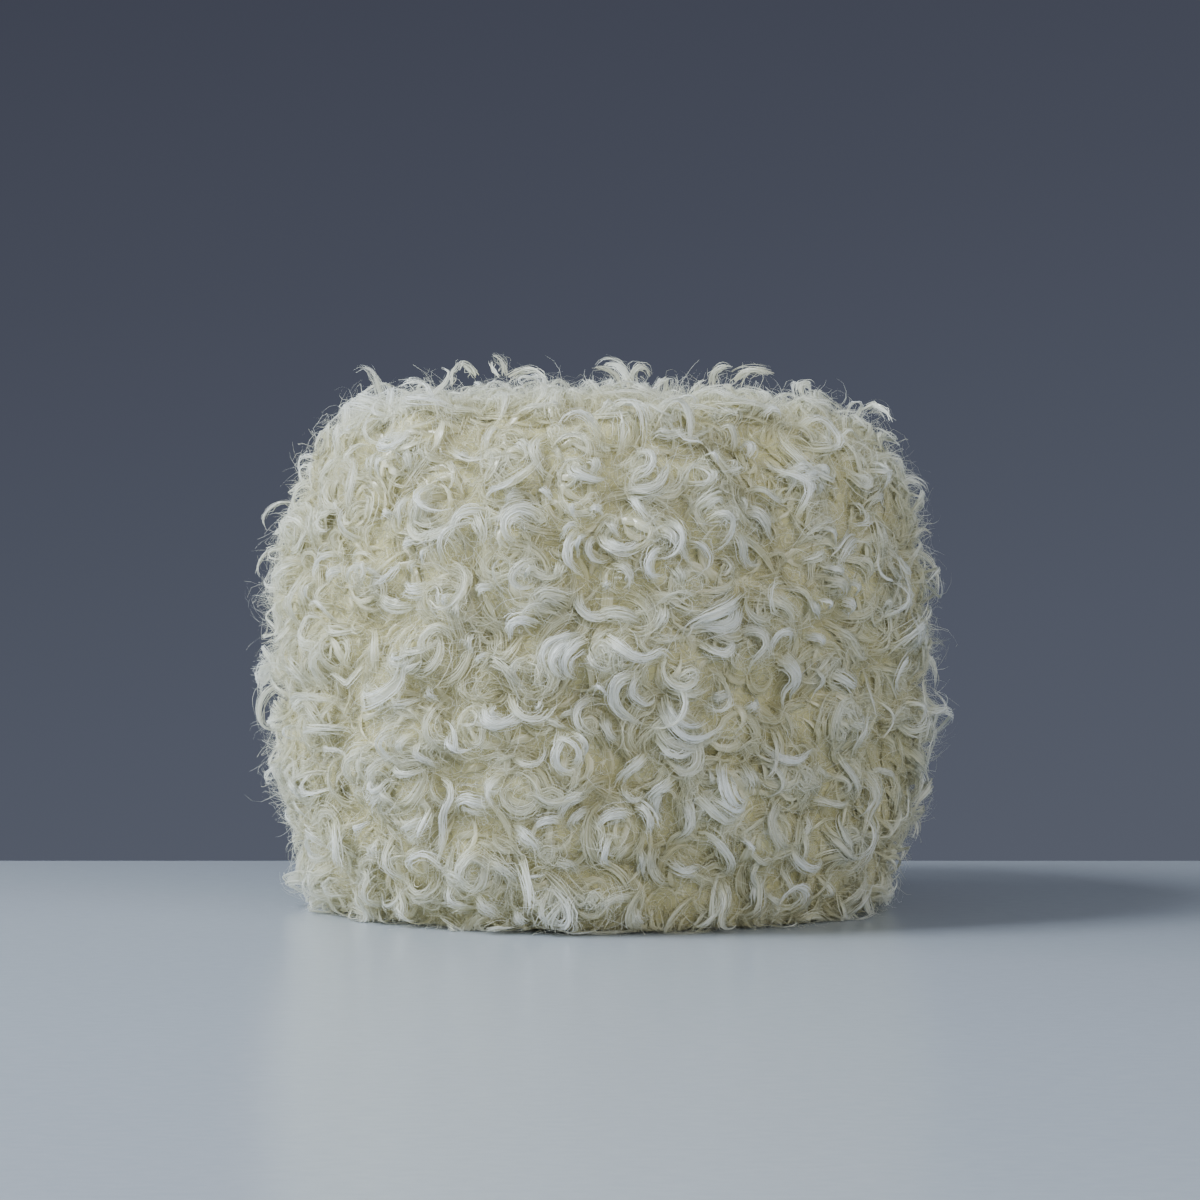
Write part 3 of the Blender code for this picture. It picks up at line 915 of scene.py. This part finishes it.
def pile_locks(drum, material, taken):
    """The curly locks all over the drum. Most circle the middle of the tuft that they grow from."""
    chance = np.random.default_rng(5)
    arc, angle = ring_sites(chance, drum, LOCK_SPACING, LOCK_SPACING, -0.25 * FLAT_RADIUS)
    count = len(arc)
    broad = chance.random(count)
    half = (0.35 + 1.10 * broad**1.8) * MM
    strands_each = np.round(4.0 + 9.5 * half / MM).astype(int)
    length = chance.uniform(8.0, 15.0, count) * MM * (0.75 + 0.35 * half / MM)

    heading, turn = swirl(chance, drum, arc, angle, length, 0.6, (90.0, 300.0))
    root = drum.surface(arc, angle)[0]
    near = np.array([np.linalg.norm(taken - place, axis=1).min() for place in root]) < 2.4 * MM
    level = chance.random(count)
    lift = np.interp(level, (0.0, 0.45, 0.85, 1.0), (-0.4, 0.9, 2.2, 3.0)) * MM
    lift = np.where(near, np.minimum(lift, 0.9 * MM), lift)
    by_rim = (arc > -2.0 * MM) & (arc < 6.0 * MM)
    lift = np.where(by_rim & ~near, 1.2 * MM + 1.6 * MM * level, lift)
    tilt = np.where(near, 0.0, np.radians(chance.uniform(0.0, 50.0, count)) * np.clip(1.5 - half / MM, 0.1, 1.0))
    routes, out, raised = curl_routes(
        drum, 36, arc, angle,
        heading=heading,
        tilt=tilt,
        turn=turn,
        tighten=chance.uniform(0.8, 1.8, count),
        sway=np.where(chance.random(count) < 0.22, 1.0, 0.0),
        length=length,
        root=np.full(count, -ROOT_DEPTH),
        lift=lift,
        drop=chance.uniform(0.1, 0.9, count),
    )
    twist = np.radians(chance.uniform(-100.0, 100.0, count))
    fan = chance.uniform(0.8, 2.2, count)
    pieces = []
    for name, chosen, samples in (
        ("loose_bends", np.abs(turn) < math.radians(150.0), 7),
        ("round_bends", (np.abs(turn) >= math.radians(150.0)) & (np.abs(turn) < math.radians(220.0)), 8),
        ("tight_curls", np.abs(turn) >= math.radians(220.0), 9),
    ):
        pieces += lock_strands(
            name, chance, routes[chosen], out[chosen], raised[chosen], half[chosen], strands_each[chosen],
            material, twist[chosen], fan[chosen], samples,
        )
    return pieces


def mat_locks(drum, material):
    """Broad, low locks that swirl with their tuft and hide most of the ground."""
    chance = np.random.default_rng(9)
    arc, angle = ring_sites(chance, drum, MAT_SPACING, MAT_SPACING, -0.2 * FLAT_RADIUS)
    count = len(arc)
    half = chance.uniform(0.7, 1.5, count) * MM
    length = chance.uniform(7.0, 14.0, count) * MM
    heading, turn = swirl(chance, drum, arc, angle, length, 0.75, (60.0, 260.0))
    samples = 24
    routes, out, raised = curl_routes(
        drum, samples, arc, angle,
        heading=heading,
        tilt=np.zeros(count),
        turn=turn,
        tighten=chance.uniform(0.8, 1.4, count),
        sway=np.zeros(count),
        length=length,
        root=np.full(count, -0.9 * MM),
        lift=chance.uniform(-0.2, 0.8, count) * MM,
        drop=chance.uniform(0.3, 1.0, count),
    )
    twist = np.radians(chance.uniform(-30.0, 30.0, count))[:, None] * np.linspace(0.0, 1.0, samples)[None, :]
    side, facing = frames(routes, out, twist)
    shade = np.clip(chance.normal(0.5, 0.15, count), 0.15, 0.85)
    return lock_cores("mat_locks", chance, routes, side, facing, raised, half, shade, material, 8)


def loose_fibres(name, drum, material, seed, count, samples, lengths, widths, lifts, tilts, turns, drops):
    """Single fibres that wander over the drum."""
    chance = np.random.default_rng(seed)
    share = chance.random(count)
    lowest = -0.9 * FLAT_RADIUS
    arc = lowest + (drum.total - lowest) * share
    radius = np.where(arc > 0.0, drum.outline(arc)[0], FLAT_RADIUS + arc)
    keep = chance.random(count) < radius / DRUM_RADIUS
    arc = arc[keep]
    count = len(arc)
    angle = chance.uniform(0.0, 2.0 * math.pi, count)
    length = chance.uniform(*lengths, count) * MM
    heading, turn = swirl(chance, drum, arc, angle, length, 0.5, turns)
    routes, out, raised = curl_routes(
        drum, samples, arc, angle,
        heading=heading,
        tilt=np.radians(chance.uniform(*tilts, count)),
        turn=turn,
        tighten=chance.uniform(0.7, 1.6, count),
        sway=np.where(chance.random(count) < 0.3, 1.0, 0.0),
        length=length,
        root=np.full(count, -ROOT_DEPTH),
        lift=chance.uniform(*lifts, count) * MM,
        drop=chance.uniform(*drops, count),
    )
    ahead = unit(np.gradient(routes, axis=1))
    side = unit(np.cross(ahead, out))
    lean = chance.uniform(-0.9, 0.9, count)[:, None, None]
    across = unit(side * np.cos(lean) + np.cross(side, ahead) * np.sin(lean))
    along = np.linspace(0.0, 1.0, samples)[None, :]
    half = 0.5 * MM * chance.uniform(*widths, count)[:, None] * (1.0 - 0.7 * along**2)
    shade = np.clip(chance.normal(0.5, 0.2, count), 0.02, 0.98)
    return strand_mesh(name, routes, across, half, shade, depth_of(raised), material)


def ground(drum, material):
    """The matted yarn under the pile, a closed skin just inside the drum's own."""
    rows, columns = 96, 200
    inset = 0.5 * MM
    under, over = np.linspace(-0.97 * FLAT_RADIUS, -0.5 * MM, 12), np.linspace(0.8 * MM, 0.995 * drum.total, rows)
    arcs = np.concatenate([under, over])
    angles = np.linspace(0.0, 2.0 * math.pi, columns, endpoint=False)
    place, out = drum.surface(*np.meshgrid(arcs, angles, indexing="ij"))
    place = place - out * inset
    lowest = np.interp(arcs, (-5.0 * MM, -1.0 * MM), (1.1 * MM, 0.3 * MM))
    place[..., 2] = np.maximum(place[..., 2], lowest[:, None])
    total = len(arcs)
    index = np.arange(total * columns).reshape(total, columns)
    right = np.roll(index, -1, 1)
    faces = np.stack([index[:-1], right[:-1], right[1:], index[1:]], -1).reshape(-1, 4).tolist()
    faces.append(index[-1].tolist())
    faces.append(index[0][::-1].tolist())
    mesh = bpy.data.meshes.new("yarn_ground")
    mesh.from_pydata(place.reshape(-1, 3).tolist(), [], faces)
    mesh.shade_smooth()
    mesh.materials.append(material)
    return in_scene("yarn_ground", mesh)


def stage():
    """A pale table top with painted shade towards its far edge, soft light from the upper left and a slate-grey
    surrounding.
    """
    bpy.ops.mesh.primitive_plane_add(size=1.0, location=(0.0, -0.465, 0.0))
    table = bpy.context.object
    table.name = "table_top"
    table.scale = (2.4, 1.1, 1.0)
    material, tree, shader = material_with("pale_table", 0.26, specular=0.4)
    grain = node(tree, "ShaderNodeTexNoise", Scale=900.0, Detail=2.0)
    colour = ramp(tree, grain.outputs["Fac"], TABLE_SHADES)
    place = tree.nodes.new("ShaderNodeTexCoord")
    # Painted shade: the table darker towards its far edge
    far = ramp(tree, axes_of(tree, place.outputs["Generated"])["Y"], TABLE_FAR_PAINTED_SHADE)
    tree.links.new(blended(tree, "MULTIPLY", 1.0, colour, far), shader.inputs["Base Color"])
    table.data.materials.append(material)

    world = bpy.data.worlds.new("slate_surrounding")
    world.use_nodes = True
    tree = world.node_tree
    place = tree.nodes.new("ShaderNodeTexCoord")
    parts = axes_of(tree, place.outputs["Generated"])
    slant = calculated(tree, "MULTIPLY_ADD", parts["X"], SKY_SLANT, parts["Z"])
    sky = ramp(tree, calculated(tree, "ADD", slant, SKY_OFFSET), SKY_SHADES)
    tree.links.new(sky, tree.nodes["Background"].inputs["Color"])
    bpy.context.scene.world = world

    for name, place, size, power, colour in LIGHTS:
        light = bpy.data.lights.new(name, "AREA")
        light.size = size
        light.energy = power
        light.color = colour
        lamp = in_scene(name, light)
        lamp.location = place
        aim = LIT_PLACE - Vector(place)
        lamp.rotation_euler = aim.to_track_quat("-Z", "Y").to_euler()


def camera():
    """Level with the middle of the ball, as the photograph is."""
    lens = bpy.data.cameras.new("camera")
    lens.sensor_width = SENSOR_WIDTH
    lens.lens = lens.sensor_width * FOCAL_PIXELS / PHOTO_WIDTH
    lens.clip_start = 0.01
    viewer = in_scene("camera", lens)
    viewer.location = EYE
    viewer.rotation_euler = (math.radians(90.0), 0.0, 0.0)
    bpy.context.scene.camera = viewer


def dress():
    """The ball's pieces, in place of its plain solid."""
    drum = Drum()
    # Fibre colours from deep in the pile to the tips: the darker, yellower deep ones are painted shade, the
    # bluish-white tips painted highlight
    locks = fibre_material(
        "glossy_locks", (0.66, 0.62, 0.38), (0.80, 0.79, 0.61), (0.90, 0.915, 0.84), (0.95, 0.98, 1.0),
        roughness=0.24, light_through=0.42,
    )
    frizz = fibre_material(
        "frizzy_fibre", (0.68, 0.64, 0.40), (0.81, 0.79, 0.60), (0.89, 0.90, 0.80), (0.92, 0.95, 0.94),
        roughness=0.45, light_through=0.45,
    )
    base = ground(drum, ground_material())
    traced, taken = traced_locks(drum, locks)
    pieces = [base, mat_locks(drum, locks)] + traced + pile_locks(drum, locks, taken)
    pieces.append(loose_fibres(
        "ground_frizz", drum, frizz, seed=21, count=24000, samples=5, lengths=(3.0, 7.5), widths=(0.045, 0.085),
        lifts=(0.2, 1.8), tilts=(0.0, 50.0), turns=(60.0, 330.0), drops=(-0.5, 0.8),
    ))
    pieces.append(loose_fibres(
        "stray_fibres", drum, frizz, seed=33, count=20000, samples=6, lengths=(3.5, 9.0), widths=(0.04, 0.08),
        lifts=(0.8, 3.2), tilts=(0.0, 60.0), turns=(40.0, 300.0), drops=(-0.4, 0.6),
    ))
    for piece in pieces:
        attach(piece, "root")
        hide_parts(NODE)


dress()
stage()
camera()
